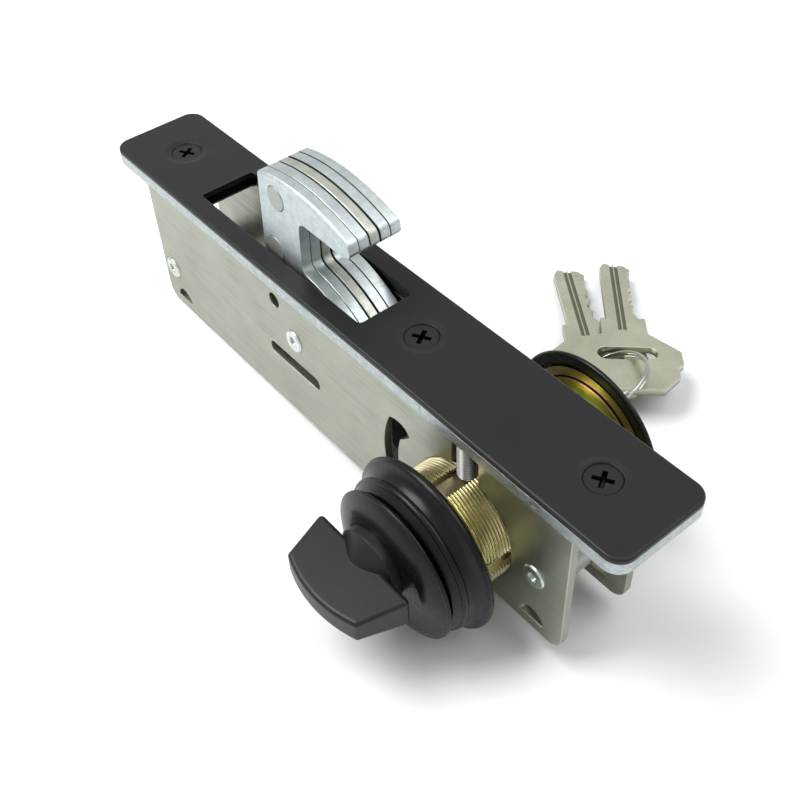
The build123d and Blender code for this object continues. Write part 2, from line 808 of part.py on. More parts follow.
# Keyed cylinder, far side
far_face = far_head_start + far_head_height
chamber_places = [far_face - pin_first - step * pin_pitch for step in range(pin_count)]
shear_z = turn_z - plug_r
far_cylinder_body = cylinder_body(
    1, far_cylinder_length, far_groove_margin, turn_x, turn_z, plug_r, chamber_places
)
finish(far_cylinder_body, "far_cylinder_body")
far_cylinder_head = cylinder_head(
    1, far_head_start, far_head_height, plug_r, plug_flange_r + running, plug_flange_thickness
)
finish(far_cylinder_head, "far_cylinder_head")
far_rim = far_head_start - far_collar_gap - far_collar_depth
with BuildPart() as far_collar:
    with BuildSketch(Plane.XY.offset(cylinder_z)):
        with BuildLine():

            def low_ring(radius, rise):
                """Point of the low ring's section."""
                return (cylinder_x + radius, far_rim + rise)

            rim_arc = ThreePointArc(
                low_ring(collar_r - 0.7, 0), low_ring(collar_r, 0.7), low_ring(collar_r - 0.6, 1.4)
            )
            Polyline(
                rim_arc @ 1,
                low_ring(collar_bead_r - 0.5, far_collar_depth),
                low_ring(thread_r + collar_bore_gap, far_collar_depth),
                low_ring(thread_r + collar_bore_gap, far_collar_recess),
                low_ring(far_collar_recess_r, far_collar_recess),
                low_ring(far_collar_recess_r, 0.2),
                low_ring(far_collar_recess_r + 0.2, 0),
                rim_arc @ 0,
            )
        make_face()
    revolve(axis=turned_about(cylinder_x, cylinder_z))
finish(far_collar, "far_collar")
far_collar_spring = collar_spring(1, far_rim + far_collar_recess, far_spring_height)
finish(far_collar_spring, "far_collar_spring")

with BuildPart() as key_plug:
    with BuildSketch(near_plane(cylinder_inner_end)):
        with Locations((turn_x, turn_z)):
            Circle(plug_r)
    extrude(amount=cylinder_inner_end - far_face)
    with BuildSketch(near_plane(far_face)):
        with Locations((turn_x, turn_z)):
            Circle(plug_flange_r)
    extrude(amount=plug_flange_thickness - side_gap)
    with BuildSketch(near_plane(far_face)):
        with Locations((turn_x, turn_z - keyway_below)):
            Rectangle(keyway_width, keyway_above + keyway_below, align=(Align.CENTER, Align.MIN))
    extrude(amount=far_face - cylinder_inner_end, mode=Mode.SUBTRACT)
    with BuildSketch(Plane.XY.offset(turn_z)):
        with Locations(*[(turn_x, y) for y in chamber_places]):
            Circle(pin_r + running)
    extrude(amount=-plug_r, mode=Mode.SUBTRACT)
    with BuildSketch(near_plane(cylinder_inner_end)):
        with Locations(*cam_screw_places(turn_x, turn_z, 90)):
            Circle(cam_screw_r + slip)
    extrude(amount=-cam_screw_length, mode=Mode.SUBTRACT)
finish(key_plug, "key_plug")


def pin_length(step):
    """Key pins differ with the key's cuts."""
    return 4.6 + 0.7 * ((step * 2) % 3)


with BuildPart() as key_pins:
    for step, y in enumerate(chamber_places):
        with BuildSketch(Plane.XY.offset(shear_z + 0.15)):
            with Locations((turn_x, y)):
                Circle(pin_r)
        extrude(amount=pin_length(step))
finish(key_pins, "key_pins")

with BuildPart() as driver_pins:
    with BuildSketch(Plane.XY.offset(shear_z - side_gap)):
        with Locations(*[(turn_x, y) for y in chamber_places]):
            Circle(pin_r)
    extrude(amount=side_gap - driver_length)
finish(driver_pins, "driver_pins")

with BuildPart() as pin_springs:
    with BuildSketch(Plane.XY.offset(shear_z - driver_length)):
        with Locations(*[(turn_x, y) for y in chamber_places]):
            Circle(pin_r - slip)
            Circle(pin_r - slip - pin_spring_wall, mode=Mode.SUBTRACT)
    extrude(amount=driver_length - chamber_length)
finish(pin_springs, "pin_springs")

far_cam = cam(1, turn_x, turn_z, 90)
finish(far_cam, "far_cam")
far_cam_screws = cam_screws(1, turn_x, turn_z, 90)
finish(far_cam_screws, "far_cam_screws")

# Set screws stand in the bar and press on the floor of each cylinder's top groove
set_screw_low = cylinder_z + thread_r - groove_depth
with BuildPart() as set_screws:
    with BuildSketch(Plane.XY.offset(set_screw_low)):
        with Locations((cylinder_x, -wall_middle), (cylinder_x, wall_middle)):
            Circle(set_screw_r)
    extrude(amount=bar_top - set_screw_recess - set_screw_low)
    for side in (-1, 1):
        with BuildSketch(Plane.XY.offset(bar_top - set_screw_recess)):
            with Locations((cylinder_x, side * wall_middle)):
                RegularPolygon(1.4, 6)
        extrude(amount=-2.4, mode=Mode.SUBTRACT)
finish(set_screws, "set_screws")

# The lock rests on the left corner of its case and on the two collars, so the surface under
# it leans by a small slope along X. The keys and their ring lie on that surface.
rest_slope = (cylinder_z - collar_r - case_back) / (cylinder_x - case_left)


def rest_height(x):
    """Height of the resting surface at one place along the lock."""
    return case_back + (x - case_left) * rest_slope


def key_plane(tip, heading, start_lift, lift):
    """Plane of a key: origin at its tip, X towards its bow, tilted up at the bow."""
    angle = math.radians(heading)
    along = Vector(math.cos(angle), math.sin(angle), rest_slope * math.cos(angle) + lift)
    across = Vector(-math.sin(angle), math.cos(angle), -rest_slope * math.sin(angle))
    normal = along.cross(across)
    return Plane(
        origin=(tip[0], tip[1], rest_height(tip[0]) + start_lift), x_dir=along, z_dir=normal
    )


def key(plane, cuts):
    """House key: blade with bitting and two milled grooves, shoulder, and a plain bow."""
    half = key_blade_width / 2
    bow_start = key_blade_length
    bow_end = bow_start + key_bow_length
    bow_half = key_bow_width / 2
    groove_end = key_blade_length + key_groove_run
    pitch = (key_blade_length - 6.0) / len(cuts)
    bitting = [(1.2, half - 1.6), (3.4, half)]
    for step, depth in enumerate(cuts):
        low = 4.2 + step * pitch
        bitting += [(low, half - depth), (low + pitch * 0.45, half - depth), (low + pitch * 0.75, half - 0.6)]
    with BuildPart() as piece:
        with BuildSketch(plane):
            with BuildLine():
                Polyline(
                    *bitting,
                    (bow_start - 1.6, half),
                    (bow_start - 1.6, half + 1.8),
                    (bow_start + 5.0, half + 1.8),
                    (bow_start + 11.0, bow_half - 1.5),
                    (bow_start + 12.5, bow_half),
                    (bow_start + 17.5, bow_half),
                    (bow_start + 19.0, bow_half - 1.5),
                    (bow_end - 5.5, bow_half - 1.5),
                    (bow_end, bow_half - 6.0),
                    (bow_end, 6.0 - bow_half),
                    (bow_end - 5.5, 1.5 - bow_half),
                    (bow_start + 19.0, 1.5 - bow_half),
                    (bow_start + 17.5, -bow_half),
                    (bow_start + 12.5, -bow_half),
                    (bow_start + 11.0, 1.5 - bow_half),
                    (bow_start + 5.0, -half - 1.6),
                    (bow_start - 1.6, -half - 1.6),
                    (bow_start - 1.6, -half),
                    (2.2, -half),
                    (0, 1.2 - half),
                    close=True,
                )
            make_face()
            with Locations((bow_start + ring_hole_along, 0)):
                SlotOverall(ring_hole_length, ring_hole_width, rotation=90, mode=Mode.SUBTRACT)
        extrude(amount=key_thickness)
        for height, middle in ((key_thickness, -1.0), (key_thickness, 0.3), (0, 1.8)):
            with BuildSketch(plane.offset(height)):
                with Locations((0, middle)):
                    Rectangle(groove_end, key_groove_width, align=(Align.MIN, Align.CENTER))
            extrude(amount=key_groove_depth if height == 0 else -key_groove_depth, mode=Mode.SUBTRACT)
    return piece


lift_slope = key_lift / (key_blade_length + ring_hole_along)
key_1_plane = key_plane(key_1_tip, key_1_heading, 0.3, lift_slope)
key_2_plane = key_plane(key_2_tip, key_2_heading, 0.3 + 1.25 * key_thickness, lift_slope)
key_1 = key(key_1_plane, (0.9, 0.7, 1.6, 1.9, 1.3))
finish(key_1, "key_1")
key_2 = key(key_2_plane, (0.9, 0.7, 1.6, 1.9, 1.3))
finish(key_2, "key_2")

# Split ring: two close turns of wire through both bows, sloping up out of the holes
hole_1 = key_1_plane.from_local_coords(Vector(key_blade_length + ring_hole_along, 0, key_thickness))
hole_2 = key_2_plane.from_local_coords(Vector(key_blade_length + ring_hole_along, 0, 0))
ring_plane = Plane(origin=(hole_1 + hole_2) * 0.5 + Vector(*ring_shift), z_dir=ring_axis)
with BuildPart() as key_ring:
    with BuildLine() as ring_path:
        Helix(
            ring_pitch,
            ring_turns * ring_pitch,
            ring_r,
            center=ring_plane.offset(-ring_pitch * ring_turns / 2).origin,
            direction=ring_plane.z_dir,
        )
    with BuildSketch(Plane(origin=ring_path.line @ 0, z_dir=ring_path.line % 0)):
        Circle(ring_wire_r)
    sweep()
finish(key_ring, "key_ring")
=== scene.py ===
import math

import bmesh
import bpy
import numpy as np
from bpy.props import FloatProperty, FloatVectorProperty, PointerProperty
from bpy.types import NodeSocket, Operator, Panel, PropertyGroup
from mathutils import Matrix, Vector


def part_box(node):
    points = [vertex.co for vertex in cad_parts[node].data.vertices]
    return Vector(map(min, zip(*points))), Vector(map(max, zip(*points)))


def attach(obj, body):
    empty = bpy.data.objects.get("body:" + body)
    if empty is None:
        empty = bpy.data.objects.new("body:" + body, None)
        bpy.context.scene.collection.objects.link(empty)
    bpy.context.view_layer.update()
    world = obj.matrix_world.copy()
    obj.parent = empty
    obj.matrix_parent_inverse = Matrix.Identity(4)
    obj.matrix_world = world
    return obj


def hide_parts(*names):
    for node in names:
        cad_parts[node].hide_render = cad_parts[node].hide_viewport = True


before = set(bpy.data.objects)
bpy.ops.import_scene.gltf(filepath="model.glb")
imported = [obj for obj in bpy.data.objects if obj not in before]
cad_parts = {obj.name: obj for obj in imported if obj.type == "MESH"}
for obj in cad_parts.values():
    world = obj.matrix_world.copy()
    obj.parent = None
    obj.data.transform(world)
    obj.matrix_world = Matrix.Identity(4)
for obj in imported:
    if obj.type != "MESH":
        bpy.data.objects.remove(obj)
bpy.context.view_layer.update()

bl_info = {
    "name": "Mortise hook lock",
    "version": (1, 0, 0),
    "blender": (4, 5, 0),
    "location": "View3D > Sidebar > Hook lock",
    "description": "Finishes, threads and small hardware of a mortise hook lock with its keys",
    "category": "Object",
}

MM = 0.001

# Places in the frame, in metres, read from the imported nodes
near_body_low, near_body_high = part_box("near_cylinder_body")
far_body_low, far_body_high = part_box("far_cylinder_body")
near_collar_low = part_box("near_collar")[0]
far_collar_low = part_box("far_collar")[0]
screws_low, screws_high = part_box("mounting_screws")
cover_screw_low, cover_screw_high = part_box("cover_screw")
spindle_low, spindle_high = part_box("turn_spindle")
plate_low, plate_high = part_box("near_side_plate")
set_screw_low, set_screw_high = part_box("set_screws")

cylinder_x = (near_body_low.x + near_body_high.x) / 2
cylinder_z = (near_body_low.z + near_body_high.z) / 2
crest_radius = (near_body_high.x - near_body_low.x) / 2
turn_x = (spindle_low.x + spindle_high.x) / 2
turn_z = (spindle_low.z + spindle_high.z) / 2
spindle_radius = (spindle_high.x - spindle_low.x) / 2
screw_head_radius = (cover_screw_high.x - cover_screw_low.x) / 2
screw_places = (
    screws_low.x + screw_head_radius,
    (cover_screw_low.x + cover_screw_high.x) / 2,
    screws_high.x - screw_head_radius,
)

# Bores of the threaded bodies
bore_clearance = 0.05 * MM
plug_radius = 6.35 * MM

# Faceplate: the dish pressed round each screw, the painted shade in the gap round its head, how
# far below the head's top the painted shade of its recess starts, and the box round the hook's
# opening in the bar, in which the bar is painted near black as shade
dish_inner = 4.1 * MM
dish_outer = 5.9 * MM
dish_depth = 0.25 * MM
gap_shade_outer = 4.14 * MM
gap_shade_inner = 3.68 * MM
recess_shade_start = 0.15 * MM
opening_shade_box = (
    ("X", -55.4 * MM, 9.8 * MM),
    ("Y", -8.2 * MM, 8.2 * MM),
    ("Z", -3.8 * MM, -1.0 * MM),
)

# Hook: each seam's distance from the lock's middle with half the width of its line of painted
# shade, and the height above which the claw's corners are rounded
ply_seam_shades = ((1.4 * MM, 0.24 * MM), (4.2 * MM, 0.12 * MM))
claw_start = 14.0 * MM

# Threaded bodies: the chamfer where they enter the case, the grooves' sizes with the close rows
# of points over their round ends, and each groove's direction from 3 o'clock with the share of
# the grooves' painted shade that it takes
entry_chamfer = 0.6 * MM
far_thread_end = 13.5 * MM
groove_width = 5.0 * MM
groove_floor = crest_radius - 1.6 * MM
groove_wall = 0.12 * MM
near_groove_margin = 9.9 * MM
far_groove_margin = 5.4 * MM
groove_end_rows = np.arange(-2.6, 0.3, 0.15) * MM
grooves = ((0.0, 0.2), (math.pi / 2, 1.0))

# Painted lines on the bodies: the line where the near thread ends, how far the painted shade goes
# in under the near collar, how far inside the far collar's edge the flange starts, and how far the
# painted highlight line there goes to either side
plain_line = 0.5 * MM
collar_shade = 0.6 * MM
flange_inset = 0.2 * MM
flange_highlight_inner = 0.1 * MM
flange_highlight_outer = 0.15 * MM

# Set screws: the chamfer of both ends and the six-sided socket
screw_chamfer = 0.6 * MM
socket_flat = 1.21 * MM
socket_mouth = 0.12 * MM
socket_mouth_depth = 0.15 * MM
socket_depth = 2.4 * MM
socket_tip_depth = 2.7 * MM
socket_tip_share = 0.1

# Keys: depths below the upper face between which the grooves' painted shade comes in
key_groove_shade_start = 0.3 * MM
key_groove_shade_end = 0.6 * MM

# Mesh making: rows to a pitch of thread, the angle past which a new surface has a sharp edge,
# and the limits for joining and rounding CAD meshes, with the least share of a claw corner's
# length that runs along Y
steps_per_pitch = 8
crease_angle = math.radians(30)
merge_distance = 0.0005 * MM
flat_angle = math.radians(0.5)
edge_angle = math.radians(40)
edge_segments = 2
corner_angle = math.radians(45)
corner_segments = 6
corner_along_y = 0.95

# Stage: the camera's sensor and nearest distance, the floor, and the two lamps with the point
# that they face
camera_sensor = 36.0
camera_near = 5.0 * MM
floor_reach = 3.0
floor_gap = 0.02 * MM
floor_fade_near = 0.35
floor_fade_far = 0.9
key_lamp_place = (-0.36, -0.36, 0.84)
key_lamp_size = 0.6
fill_lamp_place = (0.35, 0.35, 0.75)
fill_lamp_size = 0.7
lamp_target = (0.0, 0.0, -0.02)

# Painted patterns: how much the grain adds to the clouds, the spans over which tone,
# roughness and the edges' painted highlights and shade go from one value to the other, and the softness of
# limits
grain_weight = 0.6
tone_span = (0.55, 1.05)
rough_span = (0.3, 0.7)
edge_light_and_shade_span = (0.97, 0.80)
edge_samples = 4
grain_height = 0.1 * MM
band_soft = 0.1 * MM
flange_soft = 0.15 * MM
line_soft = 0.06 * MM
limit_soft = 0.05 * MM
plain_black = (0.0, 0.0, 0.0)

# First, second and result socket of a Mix node for each kind of value
mix_sockets = {"FLOAT": (2, 3, 0), "RGBA": (6, 7, 2)}


class FinishSettings(PropertyGroup):
    """Colours of the lock's finishes, as linear light."""

    cover_black: FloatVectorProperty(
        name="Faceplate cover", description="Satin charcoal coat", size=3, subtype="COLOR",
        default=(0.0085, 0.0088, 0.0095),
    )
    trim_black: FloatVectorProperty(
        name="Trim", description="Satin black coat of the heads, trim rings and thumbturn", size=3,
        subtype="COLOR", default=(0.0030, 0.0032, 0.0036),
    )
    bar_zinc: FloatVectorProperty(
        name="Faceplate bar", description="Bright bluish zinc", size=3, subtype="COLOR",
        default=(0.47, 0.51, 0.51),
    )
    case_steel: FloatVectorProperty(
        name="Side plates", description="Brushed pale warm grey", size=3, subtype="COLOR",
        default=(0.375, 0.392, 0.318),
    )
    hook_zinc: FloatVectorProperty(
        name="Hook plies", description="Bluish zinc over blanked steel", size=3, subtype="COLOR",
        default=(0.57, 0.63, 0.63),
    )
    cylinder_gold: FloatVectorProperty(
        name="Threaded bodies", description="Yellow passivated zinc", size=3, subtype="COLOR",
        default=(0.92, 0.88, 0.50),
    )
    key_nickel: FloatVectorProperty(
        name="Keys", description="Nickel silver", size=3, subtype="COLOR", default=(0.60, 0.605, 0.475)
    )


class ThreadSettings(PropertyGroup):
    """Thread of the two cylinder bodies and of the set screws."""

    pitch: FloatProperty(
        name="Body pitch", description="Way along a body from one thread crest to the next",
        default=0.794 * MM, unit="LENGTH",
    )
    depth: FloatProperty(
        name="Body thread depth", description="From a crest to a root", default=0.42 * MM, unit="LENGTH"
    )
    plain_start: FloatProperty(
        name="Plain band", description="Distance from the case's middle where the near thread ends",
        default=19.3 * MM, unit="LENGTH",
    )
    screw_pitch: FloatProperty(
        name="Set screw pitch", description="From crest to crest", default=0.5 * MM, unit="LENGTH"
    )
    screw_depth: FloatProperty(
        name="Set screw thread depth", description="From a crest to a root", default=0.28 * MM,
        unit="LENGTH",
    )


class EdgeSettings(PropertyGroup):
    """Rounding of the blanked and milled edges."""

    ply_edge: FloatProperty(
        name="Hook ply edge", description="Rounding of the hook plies' edges", default=0.28 * MM,
        unit="LENGTH",
    )
    claw_corner: FloatProperty(
        name="Claw corner", description="Rounding of the corners across the claw's nose and back",
        default=1.0 * MM, unit="LENGTH",
    )
    plate_edge: FloatProperty(
        name="Plate edge", description="Rounding of the side plates' and the bar's edges",
        default=0.18 * MM, unit="LENGTH",
    )
    key_edge: FloatProperty(
        name="Key edge", description="Rounding of the keys' edges", default=0.16 * MM, unit="LENGTH"
    )


class StageSettings(PropertyGroup):
    """Camera, light and floor."""

    camera_place: FloatVectorProperty(
        name="Camera place", description="Where the camera stands", size=3, subtype="TRANSLATION",
        unit="LENGTH", default=(0.1581, -0.1108, 0.1619),
    )
    camera_forward: FloatVectorProperty(
        name="Camera direction", description="Direction in which it looks", size=3, subtype="DIRECTION",
        default=(-0.5550, 0.4217, -0.7170),
    )
    camera_right: FloatVectorProperty(
        name="Camera right", description="Direction of the picture's right edge", size=3,
        subtype="DIRECTION", default=(0.6340, 0.7720, -0.0370),
    )
    camera_lens: FloatProperty(
        name="Lens", description="Focal length on a 36 mm sensor", default=50.3, unit="CAMERA"
    )
    key_power: FloatProperty(
        name="Key light", description="Power of the large soft light", default=10.8, unit="POWER"
    )
    fill_power: FloatProperty(
        name="Fill light", description="Power of the soft light from the right", default=3.8, unit="POWER"
    )
    ambient: FloatProperty(name="Ambient", description="Strength of the white surroundings", default=0.42)
    mirrored: FloatProperty(
        name="Mirrored", description="Strength of the surroundings in glossy reflections", default=0.76
    )
    floor_colour: FloatVectorProperty(
        name="Floor", description="Colour of the floor", size=3, subtype="COLOR", default=(0.90, 0.91, 0.925)
    )


def connect(owner, value, socket):
    """Link another node's output to a socket, or set a number, a vector or an opaque colour on it.
    The owner of the nodes is a material or the world, here and below."""
    if isinstance(value, NodeSocket):
        owner.node_tree.links.new(value, socket)
    elif socket.type == "RGBA":
        socket.default_value = (*value, 1.0)
    else:
        socket.default_value = value


def calculate(owner, operation, *values):
    """Number worked out from one to three others."""
    node = owner.node_tree.nodes.new("ShaderNodeMath")
    node.operation = operation
    for value, socket in zip(values, node.inputs):
        connect(owner, value, socket)
    return node.outputs[0]


def combine(owner, operation, values):
    """Fold several numbers into one, two at a time."""
    result, *others = values
    for value in others:
        result = calculate(owner, operation, result, value)
    return result


def measure(owner, operation, *vectors):
    """Number worked out from vectors, such as a length, a distance or a dot product."""
    node = owner.node_tree.nodes.new("ShaderNodeVectorMath")
    node.operation = operation
    for vector, socket in zip(vectors, node.inputs):
        connect(owner, vector, socket)
    return node.outputs["Value"]


def ramp(owner, value, start, end, low=0.0, high=1.0, course="LINEAR"):
    """Number that goes from low to high while a value goes from start to end."""
    node = owner.node_tree.nodes.new("ShaderNodeMapRange")
    node.interpolation_type = course
    connect(owner, value, node.inputs["Value"])
    for name, number in (("From Min", start), ("From Max", end), ("To Min", low), ("To Max", high)):
        node.inputs[name].default_value = number
    return node.outputs[0]


def mix(owner, kind, factor, first, second):
    """Value of a kind that goes from a first to a second one while a factor goes from 0 to 1."""
    node = owner.node_tree.nodes.new("ShaderNodeMix")
    node.data_type = kind
    first_socket, second_socket, result_socket = mix_sockets[kind]
    connect(owner, factor, node.inputs[0])
    connect(owner, first, node.inputs[first_socket])
    connect(owner, second, node.inputs[second_socket])
    return node.outputs[result_socket]


def ray(owner, kind):
    """Factor that is 1 for one kind of light path."""
    return owner.node_tree.nodes.new("ShaderNodeLightPath").outputs[kind]


def object_place(owner):
    """Place on a piece in its own coordinates."""
    return owner.node_tree.nodes.new("ShaderNodeTexCoord").outputs["Object"]


def scaled_place(owner, scale):
    """Place on a piece, stretched by a scale along X, Y and Z."""
    node = owner.node_tree.nodes.new("ShaderNodeMapping")
    node.inputs["Scale"].default_value = scale
    connect(owner, object_place(owner), node.inputs["Vector"])
    return node.outputs["Vector"]


def noise(owner, place, cells, detail):
    """Soft random pattern with so many cells to a unit of the place."""
    node = owner.node_tree.nodes.new("ShaderNodeTexNoise")
    node.inputs["Scale"].default_value = cells
    node.inputs["Detail"].default_value = detail
    connect(owner, place, node.inputs["Vector"])
    return node.outputs["Fac"]


def raise_surface(material, height, distance, strength=1.0):
    """Bump a surface up by a height from 0 to 1 times a distance, over any bump it has."""
    normal = material.node_tree.nodes["Principled BSDF"].inputs["Normal"]
    bump = material.node_tree.nodes.new("ShaderNodeBump")
    bump.inputs["Strength"].default_value = strength
    bump.inputs["Distance"].default_value = distance
    connect(material, height, bump.inputs["Height"])
    if normal.links:
        connect(material, normal.links[0].from_socket, bump.inputs["Normal"])
    connect(material, bump.outputs["Normal"], normal)


def metal_finish(name, colour, shade, rough, grain, metal=1.0, relief=0.0, edge=None, edge_width=0.25,
                 specular=0.5, clouds=90.0):
    """Coat or bare metal. A grain with so many cells a metre along X, Y and Z varies the colour,
    the roughness and the height, and clouds with so many cells a metre vary the tone. Edges are
    rounded by a width in millimetres, and may take a colour of their own, which is painted light:
    a pale edge colour is a painted highlight, a dark one painted shade."""
    material = bpy.data.materials.new(name)
    material.use_nodes = True
    nodes = material.node_tree.nodes
    shader = nodes["Principled BSDF"]
    shader.inputs["Metallic"].default_value = metal
    shader.inputs["Specular IOR Level"].default_value = specular
    fine = noise(material, scaled_place(material, grain), 1.0, 3.0)
    broad = noise(material, object_place(material), clouds, 2.0)
    tone = calculate(material, "MULTIPLY_ADD", fine, grain_weight, broad)
    result = mix(material, "RGBA", ramp(material, tone, *tone_span), colour, shade)
    connect(material, ramp(material, fine, *rough_span, *rough), shader.inputs["Roughness"])
    if edge_width:
        rounding = nodes.new("ShaderNodeBevel")
        rounding.samples = edge_samples
        rounding.inputs["Radius"].default_value = edge_width * MM
        rounded = rounding.outputs["Normal"]
        connect(material, rounded, shader.inputs["Normal"])
        # Colour on the rounded edges: a painted highlight where it is pale, painted shade where it is dark
        if edge:
            flat = nodes.new("ShaderNodeNewGeometry").outputs["True Normal"]
            meeting = measure(material, "DOT_PRODUCT", rounded, flat)
            result = mix(material, "RGBA", ramp(material, meeting, *edge_light_and_shade_span), result, edge)
    raise_surface(material, fine, grain_height, relief)
    connect(material, result, shader.inputs["Base Color"])
    return material


def overlay(material, factor, colour):
    """Lay a second colour over a material by a factor from 0 to 1."""
    base = material.node_tree.nodes["Principled BSDF"].inputs["Base Color"]
    below = base.links[0].from_socket
    connect(material, mix(material, "RGBA", factor, below, colour), base)


def band_factor(material, axis, low, high, soft=band_soft):
    """Factor that is 1 between two places along one axis and 0 beyond them."""
    split = material.node_tree.nodes.new("ShaderNodeSeparateXYZ")
    connect(material, object_place(material), split.inputs[0])
    offset = calculate(material, "SUBTRACT", split.outputs[axis], (low + high) / 2)
    away = calculate(material, "ABSOLUTE", offset)
    half = (high - low) / 2
    return ramp(material, away, half + soft, half - soft)


def below_factor(material, value, limit):
    """Factor that is 1 where a value is below a limit and 0 above it."""
    return ramp(material, value, limit + limit_soft, limit - limit_soft)


def attribute_factor(material, name, share):
    """Factor kept on a piece's own points, times a share."""
    own = material.node_tree.nodes.new("ShaderNodeAttribute")
    own.attribute_name = name
    return calculate(material, "MULTIPLY", own.outputs["Fac"], share)


def to_nearest_screw(material):
    """Distance across the faceplate's front to the middle of the nearest screw."""
    flat = scaled_place(material, (1.0, 1.0, 0.0))
    distances = [measure(material, "DISTANCE", flat, (x, 0.0, 0.0)) for x in screw_places]
    return combine(material, "MINIMUM", distances)


def dress(material, *nodes):
    """Give CAD nodes a material."""
    for name in nodes:
        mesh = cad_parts[name].data
        mesh.materials.clear()
        mesh.materials.append(material)


def add_piece(name, mesh, material, body, node):
    """Put a finished mesh in the scene, riding on its body in place of a CAD node."""
    piece = bpy.data.objects.new(name, mesh)
    bpy.context.scene.collection.objects.link(piece)
    mesh.materials.clear()
    mesh.materials.append(material)
    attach(piece, body)
    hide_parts(node)


def skin(name, parts, **factors):
    """Mesh of closed shells, each an array of loops of points (loops, around, 3). Neighbouring
    points of neighbouring loops make a face. A ring's last loop meets its first one, and any
    other shell is closed by a fan to the middle of each end loop. Shells whose volume comes out
    negative are turned round. Factors are kept on the points as attributes."""
    points, faces = [], []
    start = 0
    for loops, ring in parts:
        count, around = loops.shape[:2]
        body = loops.reshape(-1, 3)
        row = np.arange(count if ring else count - 1)[:, None]
        column = np.arange(around)[None, :]
        after_row = (row + 1) % count
        after_column = (column + 1) % around
        quads = np.stack(
            [row * around + column, row * around + after_column,
             after_row * around + after_column, after_row * around + column], -1,
        ).reshape(-1, 4)
        shell = [tuple(quad) for quad in quads.tolist()]
        triangles = np.concatenate([quads[:, [0, 1, 2]], quads[:, [0, 2, 3]]])
        if not ring:
            ends = np.stack([loops[0].mean(0), loops[-1].mean(0)])
            body = np.concatenate([body, ends])
            first = np.arange(around)
            second = (first + 1) % around
            low_pole = np.full(around, count * around)
            last = (count - 1) * around
            fans = np.concatenate([
                np.stack([low_pole, second, first], -1),
                np.stack([low_pole + 1, last + first, last + second], -1),
            ])
            shell += [tuple(fan) for fan in fans.tolist()]
            triangles = np.concatenate([triangles, fans])
        a, b, c = (body[triangles[:, corner]] for corner in range(3))
        if (a * np.cross(b, c)).sum() < 0:
            shell = [face[::-1] for face in shell]
        faces += [tuple(corner + start for corner in face) for face in shell]
        points.append(body)
        start += len(body)
    mesh = bpy.data.meshes.new(name)
    mesh.from_pydata(np.concatenate(points).tolist(), [], faces)
    mesh.polygons.foreach_set("use_smooth", np.ones(len(faces), bool))
    mesh.set_sharp_from_angle(angle=crease_angle)
    for factor, values in factors.items():
        own = mesh.attributes.new(factor, "FLOAT", "POINT")
        own.data.foreach_set("value", np.asarray(values, np.float32))
    mesh.update()
    return mesh


def face_values(mesh):
    """Area and normal of each face of a mesh."""
    areas = np.empty(len(mesh.polygons))
    mesh.polygons.foreach_get("area", areas)
    normals = np.empty(len(mesh.polygons) * 3)
    mesh.polygons.foreach_get("normal", normals)
    return areas, normals.reshape(-1, 3)


def weigh_normals(mesh):
    """Give each point the mean of its faces' normals by area, so that flat faces shade flat and
    the rounding between them shades round."""
    areas, normals = face_values(mesh)
    counts = np.empty(len(mesh.polygons), int)
    mesh.polygons.foreach_get("loop_total", counts)
    corners = np.empty(len(mesh.loops), int)
    mesh.loops.foreach_get("vertex_index", corners)
    total = np.zeros((len(mesh.vertices), 3))
    np.add.at(total, corners, np.repeat(normals * areas[:, None], counts, axis=0))
    total /= np.maximum(np.linalg.norm(total, axis=1, keepdims=True), 1e-20)
    mesh.normals_split_custom_set_from_vertices(total.tolist())


def is_claw_corner(edge):
    """Whether an edge is one of the sharp ones that run across the hook's claw, along Y."""
    start, end = (corner.co for corner in edge.verts)
    return (
        len(edge.link_faces) == 2
        and min(start.z, end.z) > claw_start
        and abs(start.y - end.y) > corner_along_y * edge.calc_length()
        and edge.calc_face_angle() > corner_angle
    )


def eased_copy(node, width, corner=0.0):
    """Mesh of a CAD node with its loose triangles merged, its flat faces joined and its sharp
    edges rounded. A corner radius rounds the corners across the hook's claw as well."""
    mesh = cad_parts[node].data.copy()
    shape = bmesh.new()
    shape.from_mesh(mesh)
    bmesh.ops.remove_doubles(shape, verts=shape.verts, dist=merge_distance)
    bmesh.ops.dissolve_limit(shape, angle_limit=flat_angle, verts=shape.verts, edges=shape.edges)
    if corner:
        across = [edge for edge in shape.edges if is_claw_corner(edge)]
        bmesh.ops.bevel(
            shape, geom=across, offset=corner, segments=corner_segments, profile=0.5, affect="EDGES",
        )
    shape.to_mesh(mesh)
    shape.free()
    mesh.polygons.foreach_set("use_smooth", np.ones(len(mesh.polygons), bool))
    holder = bpy.data.objects.new("easing", mesh)
    bpy.context.scene.collection.objects.link(holder)
    bevel = holder.modifiers.new("edges", "BEVEL")
    bevel.width = width
    bevel.segments = edge_segments
    bevel.limit_method = "ANGLE"
    bevel.angle_limit = edge_angle
    seen = holder.evaluated_get(bpy.context.evaluated_depsgraph_get())
    eased = bpy.data.meshes.new_from_object(seen)
    bpy.data.objects.remove(holder)
    eased.name = "eased_" + node
    weigh_normals(eased)
    return eased


def mark_below_top(mesh, start, end):
    """Keep on a flat piece's points how far they lie below its upper face, from 0 at a start depth
    to 1 at an end depth."""
    areas, normals = face_values(mesh)
    upper = normals[np.argmax(areas * (normals[:, 2] > 0.5))]
    points = np.empty(len(mesh.vertices) * 3)
    mesh.vertices.foreach_get("co", points)
    height = points.reshape(-1, 3) @ upper
    below = np.clip((height.max() - height - start) / (end - start), 0, 1)
    own = mesh.attributes.new("below", "FLOAT", "POINT")
    own.data.foreach_set("value", below.astype(np.float32))


def wave(share):
    """Thread section from 0 at a crest to 1 at a root: a triangle wave, stretched by a quarter and
    cut off at both ends, which leaves small flats."""
    return np.clip(np.abs(2 * (share % 1.0) - 1) * 1.25 - 0.12, 0, 1)


